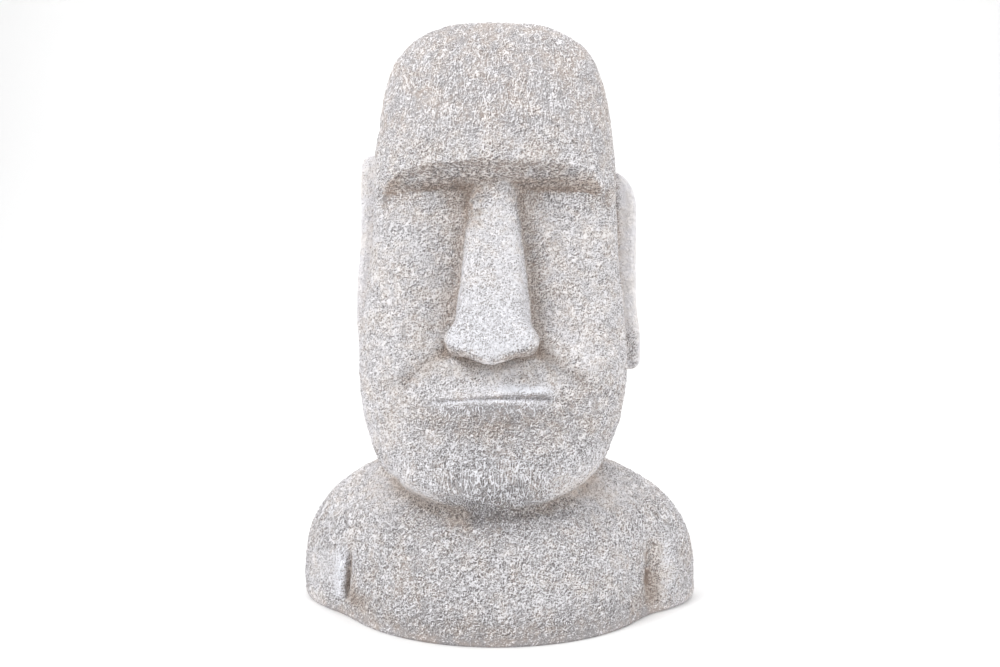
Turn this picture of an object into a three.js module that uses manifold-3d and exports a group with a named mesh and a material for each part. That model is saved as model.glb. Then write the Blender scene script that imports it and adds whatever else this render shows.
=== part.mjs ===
// Moai stone head: a cast garden bust with a long head, long ears, shoulders and short upper arms, standing on its
// flat underside.
// Millimetres, +Z up, the face looks along -Y, +X is the viewer's right. Origin: on the underside, below the middle of the head.
import * as THREE from 'three';
import Module from 'manifold-3d';

// ---------------------------------------------------------------- driving dimensions
const HEAD_TOP = 555.5;          // height of the crown above the underside
const CROWN_START = 430;         // the crown starts to close here
const CROWN_POWER = 3.0;
const HEAD_CORE = 4;             // forward position of the widest section of the head
const HEAD_BACK_POWER = 3.4;
const JAW_START = 172, JAW_END = 105, JAW_POWER = 2.05;       // where the jaw closes, at the sides
const CHIN_START = 147, CHIN_END = 96, CHIN_POWER = 2.8, JAW_RISE = 24;      // where it closes, under the chin
const BROW_EDGE = 420;           // lower edge of the brow over the nose
const BROW_ROOT = 398, BROW_ROOT_END = 390;                   // foot of the slope under the brow, middle and ends
const BROW_HALF_WIDTH = 103, BROW_SHIFT = -2;
const NOSE_TOP = 416, NOSE_BOTTOM = 245;
const MOUTH_HEIGHT = 211.5, MOUTH_HALF_WIDTH = 57;
const CHIN_HEIGHT = 146, CHIN_SWELL = 7;
const MOUTH_SWELL = 10, LIP_HOLLOW = 8, CHEEK_FOLD = 7;       // swelling round the mouth, hollow under it, folds beside the nose
const EAR_TOP_LEFT = 438, EAR_TOP_RIGHT = 421, EAR_BOTTOM = 228;
const EAR_OUTER = 135.8, EAR_BACKSET = 36, EAR_HALF_WIDTH = 20;
const TORSO_HALF_WIDTH = 157, TORSO_FRONT = 126, TORSO_BACK = 112, TORSO_TOP = 140;
const SHOULDER_HALF_WIDTH = 195.5, SHOULDER_TOP_LEFT = 148, SHOULDER_TOP_RIGHT = 146, SHOULDER_BACK = 108;
const ARM_FRONT_LEFT = 84, ARM_FRONT_RIGHT = 68;
const CREASE_OFFSET_LEFT = 135, CREASE_OFFSET_RIGHT = 141;    // the crease between each arm and the chest
const CREASE_DEPTH_LEFT = 7, CREASE_DEPTH_RIGHT = 4.5;
const FOOT_ROUNDING = 7;         // softening of the lower edge
const SKIN_BELOW = 1.5;          // the body reaches this far below the underside before it is cut flat

const SAMPLE = 4;                // spacing of the sampling grid
const TARGET_TRIANGLES = 8600;

// Head sections by height: [height, value] pairs, joined by monotone curves.
const HALF_WIDTH = curve([[90, 110], [149, 112.5], [168, 116], [188, 121.8], [205, 124], [227, 126], [245, 125.5], [263, 124],
  [300, 120], [340, 116], [388, 113.5], [430, 112.5], [447, 110.8], [466, 108.8], [490, 108.2], [565, 109]]);
const SIDE_SHIFT = curve([[100, -5], [150, -4.5], [200, -3.2], [300, -2], [440, -1.2], [565, -1.8]]);
const FACE = curve([[90, 98], [125, 103], [150, 104], [180, 99], [205, 95], [235, 92], [262, 80], [290, 71], [320, 65],
  [355, 60], [395, 56], [440, 55], [490, 50], [565, 40]]);
const OVERHANG = curve([[380, 29], [415, 29], [440, 27], [470, 25], [510, 23], [565, 20]]);
const BACK = curve([[90, 96], [140, 90], [200, 92], [300, 98], [400, 100], [480, 94], [565, 84]]);
const FRONT_POWER = curve([[90, 2.05], [140, 2.3], [190, 2.7], [240, 3.4], [300, 4.2], [395, 4.4], [430, 4.0], [480, 3.2], [565, 2.7]]);
const NOSE_RIDGE = curve([[235, 119], [255, 123], [270, 119], [300, 105.5], [340, 89], [375, 75.5], [395, 67], [415, 58]]);
const NOSE_HALF_WIDTH = curve([[235, 28], [262, 29], [300, 26.5], [350, 22.5], [400, 19]]);

// ---------------------------------------------------------------- small functions
function curve(points) {
  const n = points.length, h = [], d = [], m = new Array(n).fill(0);
  for (let i = 0; i < n - 1; i++) {
    h.push(points[i + 1][0] - points[i][0]);
    d.push((points[i + 1][1] - points[i][1]) / h[i]);
  }
  for (let i = 1; i < n - 1; i++) {
    if (d[i - 1] * d[i] > 0) {
      const a = 2 * h[i] + h[i - 1], b = h[i] + 2 * h[i - 1];
      m[i] = (a + b) / (a / d[i - 1] + b / d[i]);
    }
  }
  m[0] = d[0];
  m[n - 1] = d[n - 2];
  return (x) => {
    if (x <= points[0][0]) return points[0][1];
    if (x >= points[n - 1][0]) return points[n - 1][1];
    let i = 0;
    while (x > points[i + 1][0]) i++;
    const t = (x - points[i][0]) / h[i], t2 = t * t, t3 = t2 * t;
    return (2 * t3 - 3 * t2 + 1) * points[i][1] + (t3 - 2 * t2 + t) * h[i] * m[i]
      + (-2 * t3 + 3 * t2) * points[i + 1][1] + (t3 - t2) * h[i] * m[i + 1];
  };
}
function blend(a, b, k) {        // union of two distances with a fillet of width k
  const h = Math.min(1, Math.max(0, 0.5 + 0.5 * (b - a) / k));
  return b + (a - b) * h - k * h * (1 - h);
}
const meet = (a, b, k) => -blend(-a, -b, k);     // intersection with a rounded edge
const step = (t) => { t = Math.min(1, Math.max(0, t)); return t * t * (3 - 2 * t); };
const soft = (t, r) => 0.5 * (t + Math.sqrt(t * t + r * r));
const slope = (t, r) => soft(t, r) - soft(t - 1, r);
const bump = (t) => Math.exp(-0.5 * t * t);
function roundedBox(px, pf, pz, hx, hf, hz, r) {
  const x = Math.abs(px) - hx + r, f = Math.abs(pf) - hf + r, z = Math.abs(pz) - hz + r;
  return Math.hypot(Math.max(x, 0), Math.max(f, 0), Math.max(z, 0)) + Math.min(Math.max(x, f, z), 0) - r;
}
// Distance, about, to a body whose plan is a superellipse: a half width, front and back reach, closed above or below by w.
function oval(x, f, rise, halfWidth, reach, planPower, w, power) {
  const plan = (Math.abs(x / halfWidth) ** planPower + Math.abs(f / reach) ** planPower) ** (1 / planPower);
  const size = (plan ** power + w ** power) ** (1 / power);
  return [Math.hypot(x, f, rise), 1 - 1 / Math.max(size, 1e-3)];
}

// ---------------------------------------------------------------- the parts of the body, as distances
// x to the viewer's right, f forward from the axis, z up.
function faceFront(x, z) {
  const ax = Math.abs(x);
  let face = FACE(z);
  face -= 6 * bump((ax - 36 - 0.06 * (400 - z)) / 15) * step((z - 235) / 60) * step((420 - z) / 40);  // valley beside the nose
  face += 3 * bump((ax - 76) / 24) * bump((z - 290) / 50);                                            // cheek
  face += MOUTH_SWELL * bump(x / 50) * bump((z - 216) / 22);
  face -= LIP_HOLLOW * bump(x / 50) * bump((z - 184) / 12);
  face += CHIN_SWELL * bump(x / 46) * bump((z - CHIN_HEIGHT) / 20);
  const lip = z - (MOUTH_HEIGHT - 0.001 * x * x + 0.02 * x);
  const openRight = step((x + 25) / 70), gap = 1.6 + 3.6 * openRight;                                 // the slit widens to the right
  face += step((MOUTH_HALF_WIDTH + 5 - ax) / 26) * (2.8 * bump((lip - gap - 2.4) / 2.9) + 2 * bump((lip + 2.8) / 2.3));
  face -= step((MOUTH_HALF_WIDTH - ax) / 8) * (2.4 + 1.6 * openRight) * Math.min(1, Math.max(0, 1 - lip / gap)) * step(lip + 1);
  const fold = z - (252 - 0.62 * (ax - 38));
  face -= CHEEK_FOLD * bump(fold / 6.5) * step((ax - 34) / 10) * step((100 - ax) / 28);               // nose to cheek
  // the brow stands out over the face, and runs out towards the temples
  const bx = Math.abs(x - BROW_SHIFT), t = Math.min(bx / BROW_HALF_WIDTH, 1);
  const root = BROW_ROOT - (BROW_ROOT - BROW_ROOT_END) * t ** 2.5;
  const edge = root + (BROW_EDGE - BROW_ROOT) * Math.cbrt(1 - t ** 3);
  const spread = Math.min(bx / (BROW_HALF_WIDTH + 30 * step((z - BROW_EDGE) / 120)), 1);
  const out = (1 - spread * spread) ** (0.5 + 0.5 * step((z - BROW_EDGE) / 60));
  return face + OVERHANG(z) * out * slope((z - root) / Math.max(edge - root, 2.5), 0.1);
}
function head(x0, f0, z) {
  const x = x0 - SIDE_SHIFT(z), f = f0 - HEAD_CORE, front = f > 0;
  const reach = front ? faceFront(x0, z) - HEAD_CORE : HEAD_CORE + BACK(z);
  const power = front ? FRONT_POWER(z) : HEAD_BACK_POWER;
  const forward = step(f / 70);
  const lifted = JAW_RISE * forward * Math.min(x * x, 12100) / 10000;          // the lower edge rises from the chin to the sides
  const start = JAW_START + (CHIN_START - JAW_START) * forward + 0.4 * lifted, end = JAW_END + (CHIN_END - JAW_END) * forward + lifted;
  const up = z > CROWN_START;
  const w = up ? (z - CROWN_START) / (HEAD_TOP - CROWN_START) : Math.max(0, (start - z) / (start - end));
  const close = up ? CROWN_POWER : JAW_POWER + (CHIN_POWER - JAW_POWER) * forward;
  const rise = up ? z - CROWN_START : Math.max(0, start - z);
  const [p, s] = oval(x, f, rise, HALF_WIDTH(z), reach, power, w, close);
  return p * s;
}
function nose(x, f, z) {
  const ax = Math.abs(x), ridge = NOSE_RIDGE(z);
  const front = (f - ridge) * 0.93, side = (ax - (NOSE_HALF_WIDTH(z) + 0.15 * (ridge - f))) * 0.99;
  const under = (NOSE_BOTTOM + 0.16 * ax - 0.16 * (f - 120) - z) * 0.98;
  let d = meet(meet(front, side, 12), meet(under, z - NOSE_TOP, 6), 11);
  d = meet(d, 30 - f, 2);
  const ball = (cx, cf, cz, rx, rf, rz) =>
    (Math.hypot((ax - cx) / rx, (f - cf) / rf, (z - cz) / rz) - 1) * Math.min(rx, rf, rz);
  d = blend(d, ball(28.5, 100, 262, 13, 20, 13.5), 9);       // wings
  return blend(d, ball(0, 112, 257, 18, 15.5, 14), 9);         // tip
}
function ear(x, f, z) {
  const left = x < 0, ax = Math.abs(x), top = left ? EAR_TOP_LEFT : EAR_TOP_RIGHT;
  const mid = (top + EAR_BOTTOM) / 2, half = (top - EAR_BOTTOM) / 2, t = (z - mid) / half;
  const lean = 0.05 * (z - mid);
  const swell = left ? 4 * bump((z - 298) / 34) : 3.5 * bump((z - 250) / 22);
  const outer = EAR_OUTER + swell - (left ? 2 : 17) * Math.min(1, Math.max(0, (t - 0.62) / 0.38)) ** 2.2;
  const width = EAR_HALF_WIDTH + 4 * bump((t - 0.74) / 0.3) + 4.5 * bump((t + 0.76) / 0.3);
  const qx = ax - (outer - 30) - 30 + 9, qf = Math.abs(f + EAR_BACKSET + lean) - width + 10, qz = Math.abs(z - mid) - half + 9;
  const d = Math.hypot(Math.max(qx, 0), Math.max(qf, 0), Math.max(qz, 0)) + Math.min(Math.max(qx, qf, qz), 0) - 9;
  const channel = roundedBox(ax - (outer + 3), f + EAR_BACKSET + 2 + lean, z - (mid + 12), 8, width - 9.5, half - 34, 5);
  return meet(d, -channel, 6);
}
function torso(x0, f0, z) {
  const x = x0 + 1.5, f = f0 + 34, front = f > 0;
  const [p, s] = oval(x, f, Math.max(0, z - 14), TORSO_HALF_WIDTH, front ? TORSO_FRONT + 34 : TORSO_BACK - 34,
    front ? 2 : 2.8, Math.max(0, (z - 14) / (TORSO_TOP - 14)), 2.1);
  return p * s;
}
function arms(x, f0, z) {
  const f = f0 + 40, front = f > 0, side = step((x + 90) / 180);
  const top = SHOULDER_TOP_LEFT + (SHOULDER_TOP_RIGHT - SHOULDER_TOP_LEFT) * side;
  const armFront = ARM_FRONT_LEFT + (ARM_FRONT_RIGHT - ARM_FRONT_LEFT) * side;
  const reach = front ? 50 + (armFront - 10) * step((160 - z) / 90) : SHOULDER_BACK - 40;
  const [p, s] = oval(x, f, Math.max(0, z - 20), SHOULDER_HALF_WIDTH, reach, front ? 1.9 : 2.6,
    Math.max(0, (z - 20) / (top - 20)), 2.65 - 0.15 * side);
  return Math.min(p, 90) * s;
}
// The crease between arm and chest: one wall steep, the other leaning, a low swelling beyond it.
function armCrease(x, f, z) {
  const left = x < 0;
  const u = Math.abs(x) - 0.1 * (f - 25) - (left ? CREASE_OFFSET_LEFT - 0.05 * (z - 40) : CREASE_OFFSET_RIGHT + 0.03 * (z - 40));
  const run = left ? step((z - 12) / 8) * step((73 - z) / 30) : step((z - 6) / 8) * step((90 - z) / 40);
  const wall = left ? (u > 0 ? 2.0 : 3.2) : (u > 0 ? 11 : 2.6);
  const rim = left ? 2.6 * bump((u - 8) / 4.5) : 1.8 * bump((u - 27) / 6);
  const depth = left ? CREASE_DEPTH_LEFT : CREASE_DEPTH_RIGHT;
  return run * step((f + 12) / 24) * (depth * Math.exp(-Math.sqrt(u * u + 0.4) / wall) - rim);
}

function body(x, f, z) {
  let h = head(x, f, z);
  h = blend(h, nose(x, f, z), 5);
  h = blend(h, ear(x, f, z), 3.5);
  let t = blend(torso(x, f, z), arms(x, f, z), 9 + 28 * step((z - 45) / 55));
  t += armCrease(x, f, z);
  t = meet(t, -(z + SKIN_BELOW), FOOT_ROUNDING);
  return blend(h, t, 10 + 14 * step((f - 10) / 40) * step((Math.abs(x) - 55) / 45));     // the jaw runs softly into the shoulders
}

// ---------------------------------------------------------------- sampling: one vertex for each sheet of the skin in each grid cell
function skin(field, lo, hi, h) {
  const C = 4;                                   // coarse blocks far from the skin are skipped
  const levels = [lo[2]];                        // half as far apart across the mouth
  while (levels[levels.length - 1] < hi[2]) levels.push(levels[levels.length - 1] + (Math.abs(levels[levels.length - 1] - MOUTH_HEIGHT) < 10 ? h / 2 : h));
  const n = [0, 1].map((i) => Math.ceil((hi[i] - lo[i]) / h) + 1).concat(levels.length);
  const at = (i, j, k) => (i * n[1] + j) * n[2] + k;
  const value = new Float64Array(n[0] * n[1] * n[2]).fill(NaN);
  for (let i = 0; i < n[0]; i += C) for (let j = 0; j < n[1]; j += C) for (let k = 0; k < n[2]; k += C) {
    const x = lo[0] + (i + C / 2) * h, y = lo[1] + (j + C / 2) * h, z = levels[Math.min(k + C / 2, n[2] - 1)];
    const middle = field(x, y, z), far = Math.abs(middle) > C * h * 2.2;
    for (let a = i; a < Math.min(i + C, n[0]); a++) for (let b = j; b < Math.min(j + C, n[1]); b++) for (let c = k; c < Math.min(k + C, n[2]); c++)
      value[at(a, b, c)] = far ? middle : field(lo[0] + a * h, lo[1] + b * h, levels[c]);
  }
  const first = new Int32Array(value.length).fill(-1), pattern = new Uint8Array(value.length), points = [];
  const corners = [];
  for (let c = 0; c < 8; c++) corners.push([c & 1, (c >> 1) & 1, (c >> 2) & 1]);
  const edges = [];
  for (let a = 0; a < 8; a++) for (const bit of [1, 2, 4]) if (!(a & bit)) edges.push([a, a | bit]);
  const edgeAt = (a, b) => edges.findIndex(([p, q]) => p === Math.min(a, b) && q === Math.max(a, b));
  const sides = [];
  for (const [u, v, w] of [[1, 2, 4], [2, 4, 1], [4, 1, 2]]) for (const o of [0, w]) sides.push([o, o | u, o | u | v, o | v]);
  // for each pattern of inside corners, the sheet that each crossed edge belongs to
  const sheets = Array.from({ length: 256 }, (_, inside) => {
    const group = edges.map((_, e) => e), is = (c) => (inside >> c) & 1;
    const root = (e) => { while (group[e] !== e) e = group[e]; return e; };
    const join = (e, g) => { group[root(e)] = root(g); };
    for (const side of sides) {
      const crossed = [0, 1, 2, 3].filter((q) => is(side[q]) !== is(side[(q + 1) % 4])), edge = (q) => edgeAt(side[q % 4], side[(q + 1) % 4]);
      if (crossed.length === 2) join(edge(crossed[0]), edge(crossed[1]));
      if (crossed.length === 4) for (let q = 0; q < 4; q++) if (is(side[q])) join(edge(q + 3), edge(q));     // inside corners stay apart
    }
    const names = [];
    return edges.map(([p, q], e) => {
      if (is(p) === is(q)) return -1;
      if (!names.includes(root(e))) names.push(root(e));
      return names.indexOf(root(e));
    });
  });
  for (let i = 0; i < n[0] - 1; i++) for (let j = 0; j < n[1] - 1; j++) for (let k = 0; k < n[2] - 1; k++) {
    const v = corners.map(([a, b, c]) => value[at(i + a, j + b, k + c)]);
    const inside = v.reduce((sum, w, c) => sum | (w < 0 ? 1 << c : 0), 0), sheet = sheets[inside];
    const count = Math.max(...sheet) + 1;
    if (!count) continue;
    first[at(i, j, k)] = points.length;
    pattern[at(i, j, k)] = inside;
    for (let m = 0; m < count; m++) {
      let sx = 0, sy = 0, sz = 0, cuts = 0;
      edges.forEach(([a, b], e) => {
        if (sheet[e] !== m) return;
        const t = v[a] / (v[a] - v[b]), p = corners[a], q = corners[b];
        sx += p[0] + (q[0] - p[0]) * t; sy += p[1] + (q[1] - p[1]) * t; sz += p[2] + (q[2] - p[2]) * t;
        cuts++;
      });
      points.push([lo[0] + (i + sx / cuts) * h, lo[1] + (j + sy / cuts) * h, levels[k] + sz / cuts * (levels[k + 1] - levels[k])]);
    }
  }
  const triangles = [];
  for (let i = 1; i < n[0] - 1; i++) for (let j = 1; j < n[1] - 1; j++) for (let k = 1; k < n[2] - 1; k++) {
    const here = value[at(i, j, k)] < 0;
    for (let axis = 0; axis < 3; axis++) {
      const next = value[at(i + (axis === 0), j + (axis === 1), k + (axis === 2))] < 0;
      if (here === next) continue;
      const pick = (a, b) => {
        const o = [i, j, k];
        o[(axis + 1) % 3] -= a;
        o[(axis + 2) % 3] -= b;
        const corner = (i - o[0]) | ((j - o[1]) << 1) | ((k - o[2]) << 2), c = at(o[0], o[1], o[2]);
        return first[c] + sheets[pattern[c]][edgeAt(corner, corner | (1 << axis))];
      };
      const q = [pick(1, 1), pick(0, 1), pick(0, 0), pick(1, 0)];
      if (!here) q.reverse();
      triangles.push([q[0], q[1], q[2]], [q[0], q[2], q[3]]);
    }
  }
  return { points, triangles };
}

// ---------------------------------------------------------------- thinning: the edge that bends the skin least goes first
function thin({ points, triangles }, target) {
  const P = points, T = triangles, alive = new Uint8Array(T.length).fill(1);
  const around = P.map(() => new Set()), Q = P.map(() => new Float64Array(10)), stamp = new Int32Array(P.length);
  const cross = (a, b, c) => {
    const ux = b[0] - a[0], uy = b[1] - a[1], uz = b[2] - a[2], vx = c[0] - a[0], vy = c[1] - a[1], vz = c[2] - a[2];
    return [uy * vz - uz * vy, uz * vx - ux * vz, ux * vy - uy * vx];
  };
  T.forEach((t, i) => {
    const c = cross(P[t[0]], P[t[1]], P[t[2]]), l = Math.hypot(...c) || 1e-9, area = l / 2;
    const nx = c[0] / l, ny = c[1] / l, nz = c[2] / l, d = -(nx * P[t[0]][0] + ny * P[t[0]][1] + nz * P[t[0]][2]);
    const q = [nx * nx, nx * ny, nx * nz, nx * d, ny * ny, ny * nz, ny * d, nz * nz, nz * d, d * d];
    for (const v of t) { around[v].add(i); for (let k = 0; k < 10; k++) Q[v][k] += q[k] * area; }
  });
  const cost = (q, x, y, z) => q[0] * x * x + 2 * q[1] * x * y + 2 * q[2] * x * z + 2 * q[3] * x + q[4] * y * y
    + 2 * q[5] * y * z + 2 * q[6] * y + q[7] * z * z + 2 * q[8] * z + q[9];
  const heap = [];
  const push = (e) => {
    let i = heap.push(e) - 1;
    while (i > 0) { const p = (i - 1) >> 1; if (heap[p].c <= e.c) break; heap[i] = heap[p]; i = p; }
    heap[i] = e;
  };
  const pop = () => {
    const top = heap[0], e = heap.pop();
    if (heap.length) {
      let i = 0;
      for (;;) {
        let k = 2 * i + 1;
        if (k >= heap.length) break;
        if (k + 1 < heap.length && heap[k + 1].c < heap[k].c) k++;
        if (heap[k].c >= e.c) break;
        heap[i] = heap[k]; i = k;
      }
      heap[i] = e;
    }
    return top;
  };
  const offer = (a, b) => {
    const q = new Float64Array(10);
    for (let k = 0; k < 10; k++) q[k] = Q[a][k] + Q[b][k];
    const mx = (P[a][0] + P[b][0]) / 2, my = (P[a][1] + P[b][1]) / 2, mz = (P[a][2] + P[b][2]) / 2;
    const l2 = (P[a][0] - P[b][0]) ** 2 + (P[a][1] - P[b][1]) ** 2 + (P[a][2] - P[b][2]) ** 2;
    // best place, held near the middle of the edge where the skin is flat
    const w = 1e-3 * (q[0] + q[4] + q[7]);
    const A = [q[0] + w, q[1], q[2], q[4] + w, q[5], q[7] + w], B = [w * mx - q[3], w * my - q[6], w * mz - q[8]];
    const c0 = A[3] * A[5] - A[4] * A[4], c1 = A[2] * A[4] - A[1] * A[5], c2 = A[1] * A[4] - A[2] * A[3];
    const det = A[0] * c0 + A[1] * c1 + A[2] * c2;
    let p = [mx, my, mz];
    if (Math.abs(det) > 1e-12) {
      const c3 = A[0] * A[5] - A[2] * A[2], c4 = A[1] * A[2] - A[0] * A[4], c5 = A[0] * A[3] - A[1] * A[1];
      const s = [(c0 * B[0] + c1 * B[1] + c2 * B[2]) / det, (c1 * B[0] + c3 * B[1] + c4 * B[2]) / det, (c2 * B[0] + c4 * B[1] + c5 * B[2]) / det];
      if ((s[0] - mx) ** 2 + (s[1] - my) ** 2 + (s[2] - mz) ** 2 < l2) p = s;
    }
    push({ c: Math.max(0, cost(q, p[0], p[1], p[2])) + 2e-4 * l2, a, b, p, sa: stamp[a], sb: stamp[b] });
  };
  const seen = new Set();
  for (const t of T) for (let k = 0; k < 3; k++) {
    const a = Math.min(t[k], t[(k + 1) % 3]), b = Math.max(t[k], t[(k + 1) % 3]), key = a * P.length + b;
    if (!seen.has(key)) { seen.add(key); offer(a, b); }
  }
  const ring = (v) => { const s = new Set(); for (const i of around[v]) for (const u of T[i]) if (u !== v) s.add(u); return s; };
  let left = T.length;
  while (left > target && heap.length) {
    const { a, b, p, sa, sb } = pop();
    if (stamp[a] !== sa || stamp[b] !== sb) continue;
    const ra = ring(a), rb = ring(b);
    let shared = 0;
    for (const u of ra) if (rb.has(u)) shared++;
    if (shared !== 2 || ra.size + rb.size < 8) continue;
    let good = true;
    for (const v of [a, b]) {
      for (const i of around[v]) {
        const t = T[i];
        if (t.includes(a) && t.includes(b)) continue;
        const before = cross(P[t[0]], P[t[1]], P[t[2]]);
        const [q0, q1, q2] = t.map((u) => (u === v ? p : P[u]));
        const after = cross(q0, q1, q2);
        const l = Math.hypot(...after), m = Math.hypot(...before);
        const long = Math.max(Math.hypot(q0[0] - q1[0], q0[1] - q1[1], q0[2] - q1[2]), Math.hypot(q1[0] - q2[0], q1[1] - q2[1], q1[2] - q2[2]),
          Math.hypot(q2[0] - q0[0], q2[1] - q0[1], q2[2] - q0[2]));
        if (l < 0.14 * long * long || before[0] * after[0] + before[1] * after[1] + before[2] * after[2] < 0.5 * l * m) { good = false; break; }
      }
      if (!good) break;
    }
    if (!good) continue;
    P[a] = p;
    for (let k = 0; k < 10; k++) Q[a][k] += Q[b][k];
    for (const i of around[b]) {
      const t = T[i];
      if (t.includes(a)) {
        alive[i] = 0; left--;
        for (const u of t) if (u !== b) around[u].delete(i);
      } else { t[t.indexOf(b)] = a; around[a].add(i); }
    }
    around[b].clear();
    stamp[a]++; stamp[b]++;
    for (const u of ring(a)) offer(Math.min(a, u), Math.max(a, u));
  }
  const index = new Map(), out = [], faces = [];
  T.forEach((t, i) => {
    if (!alive[i]) return;
    faces.push(t.map((v) => { if (!index.has(v)) { index.set(v, out.length); out.push(P[v]); } return index.get(v); }));
  });
  return { points: out, triangles: faces };
}

// ---------------------------------------------------------------- the solid, cut flat on its underside
const wasm = await Module();
wasm.setup();
const rough = thin(skin(body, [-204, -124, -10], [204, 138, 566], SAMPLE), TARGET_TRIANGLES);
const solid = new wasm.Manifold(new wasm.Mesh({
  numProp: 3,
  vertProperties: new Float32Array(rough.points.flatMap(([x, f, z]) => [x, -f, z])),
  triVerts: new Uint32Array(rough.triangles.flatMap(([a, b, c]) => [a, c, b])),
}));
function block(width, depth, height, z) {
  const box = new THREE.BoxGeometry(width, depth, height).translate(0, 0, z);
  const place = box.getAttribute('position'), key = new Map(), corner = [], order = [];
  for (let i = 0; i < place.count; i++) {
    const name = `${place.getX(i)},${place.getY(i)},${place.getZ(i)}`;
    if (!key.has(name)) { key.set(name, corner.length / 3); corner.push(place.getX(i), place.getY(i), place.getZ(i)); }
    order.push(key.get(name));
  }
  return new wasm.Manifold(new wasm.Mesh({
    numProp: 3, vertProperties: new Float32Array(corner), triVerts: new Uint32Array(Array.from(box.getIndex().array, (i) => order[i])),
  }));
}
const cut = solid.subtract(block(600, 400, 40, -20)).getMesh();
const geometry = new THREE.BufferGeometry();
geometry.setAttribute('position', new THREE.BufferAttribute(new Float32Array(cut.vertProperties), 3));
geometry.setIndex(new THREE.BufferAttribute(new Uint32Array(cut.triVerts), 1));
geometry.computeVertexNormals();

const bust = new THREE.Mesh(geometry, new THREE.MeshStandardMaterial({ color: 0xc7c3c0, roughness: 0.93, metalness: 0 }));
bust.name = 'moai_bust';

const group = new THREE.Group();
group.add(bust);
export default group;
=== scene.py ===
"""A cast moai garden bust on a pale studio floor.
The body is sampled from the same sections as the solid, on a finer grid, then worked over with tool strokes and pits."""

import math

import bpy
import numpy as np
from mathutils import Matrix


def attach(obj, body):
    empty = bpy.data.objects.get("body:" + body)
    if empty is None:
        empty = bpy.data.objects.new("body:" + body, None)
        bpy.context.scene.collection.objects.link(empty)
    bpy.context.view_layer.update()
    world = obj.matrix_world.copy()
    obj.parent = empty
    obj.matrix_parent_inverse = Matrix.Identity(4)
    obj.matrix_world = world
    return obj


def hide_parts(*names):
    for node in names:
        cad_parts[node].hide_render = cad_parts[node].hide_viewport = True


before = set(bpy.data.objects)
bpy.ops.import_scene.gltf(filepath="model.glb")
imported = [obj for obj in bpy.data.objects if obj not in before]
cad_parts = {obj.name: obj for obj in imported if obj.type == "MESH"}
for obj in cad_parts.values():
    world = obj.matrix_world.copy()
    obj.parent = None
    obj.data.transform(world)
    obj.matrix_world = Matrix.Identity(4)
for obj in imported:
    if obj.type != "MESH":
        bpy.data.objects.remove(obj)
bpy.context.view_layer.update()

# ------------------------------------------------------------------ sizes, millimetres (x right, f forward, z up)
HEAD_TOP, CROWN_START, CROWN_POWER = 555.5, 430.0, 3.0
HEAD_CORE, HEAD_BACK_POWER = 4.0, 3.4
JAW_START, JAW_END, JAW_POWER = 172.0, 105.0, 2.05
CHIN_START, CHIN_END, CHIN_POWER, JAW_RISE = 147.0, 96.0, 2.8, 24.0
BROW_EDGE, BROW_ROOT, BROW_ROOT_END, BROW_HALF, BROW_SHIFT = 420.0, 398.0, 390.0, 103.0, -2.0
NOSE_TOP, NOSE_BOTTOM = 416.0, 245.0
MOUTH_Z, MOUTH_HALF = 211.5, 57.0
CHIN_Z, CHIN_SWELL, MUZZLE, LIP_HOLLOW, FOLD = 146.0, 7.0, 10.0, 8.0, 7.0
EAR_TOP_L, EAR_TOP_R, EAR_BOTTOM = 438.0, 421.0, 228.0
EAR_OUTER, EAR_BACKSET, EAR_HALF = 135.8, 36.0, 20.0
TORSO_HALF, TORSO_FRONT, TORSO_BACK, TORSO_TOP = 157.0, 126.0, 112.0, 140.0
SHOULDER_HALF, SHOULDER_TOP_L, SHOULDER_TOP_R, SHOULDER_BACK = 195.5, 148.0, 146.0, 108.0
ARM_FRONT_L, ARM_FRONT_R = 84.0, 68.0
SKIN_BELOW, FOOT_ROUNDING = 1.5, 7.0
GRID = 1.75                     # sampling step of the fine body
TRIANGLES = 196000              # of the finished body


def curve(pts):
    xs = np.array([p[0] for p in pts], float)
    ys = np.array([p[1] for p in pts], float)
    h = np.diff(xs)
    d = np.diff(ys) / h
    m = np.zeros(len(xs))
    for i in range(1, len(xs) - 1):
        if d[i - 1] * d[i] > 0:
            a, b = 2 * h[i] + h[i - 1], h[i] + 2 * h[i - 1]
            m[i] = (a + b) / (a / d[i - 1] + b / d[i])
    m[0], m[-1] = d[0], d[-1]

    def f(x):
        x = np.clip(x, xs[0], xs[-1])
        i = np.clip(np.searchsorted(xs, x, side="right") - 1, 0, len(xs) - 2)
        t = (x - xs[i]) / h[i]
        t2, t3 = t * t, t * t * t
        return (2 * t3 - 3 * t2 + 1) * ys[i] + (t3 - 2 * t2 + t) * h[i] * m[i] + (-2 * t3 + 3 * t2) * ys[i + 1] + (t3 - t2) * h[i] * m[i + 1]

    return f


HALF_WIDTH = curve([(90, 110), (149, 112.5), (168, 116), (188, 121.8), (205, 124), (227, 126), (245, 125.5), (263, 124),
                    (300, 120), (340, 116), (388, 113.5), (430, 112.5), (447, 110.8), (466, 108.8), (490, 108.2), (565, 109)])
SIDE_SHIFT = curve([(100, -5), (150, -4.5), (200, -3.2), (300, -2), (440, -1.2), (565, -1.8)])
FACE = curve([(90, 98), (125, 103), (150, 104), (180, 99), (205, 95), (235, 92), (262, 80), (290, 71), (320, 65),
              (355, 60), (395, 56), (440, 55), (490, 50), (565, 40)])
OVERHANG = curve([(380, 29), (415, 29), (440, 27), (470, 25), (510, 23), (565, 20)])
BACK = curve([(90, 96), (140, 90), (200, 92), (300, 98), (400, 100), (480, 94), (565, 84)])
FRONT_POWER = curve([(90, 2.05), (140, 2.3), (190, 2.7), (240, 3.4), (300, 4.2), (395, 4.4), (430, 4.0), (480, 3.2), (565, 2.7)])
NOSE_RIDGE = curve([(235, 119), (255, 123), (270, 119), (300, 105.5), (340, 89), (375, 75.5), (395, 67), (415, 58)])
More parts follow.
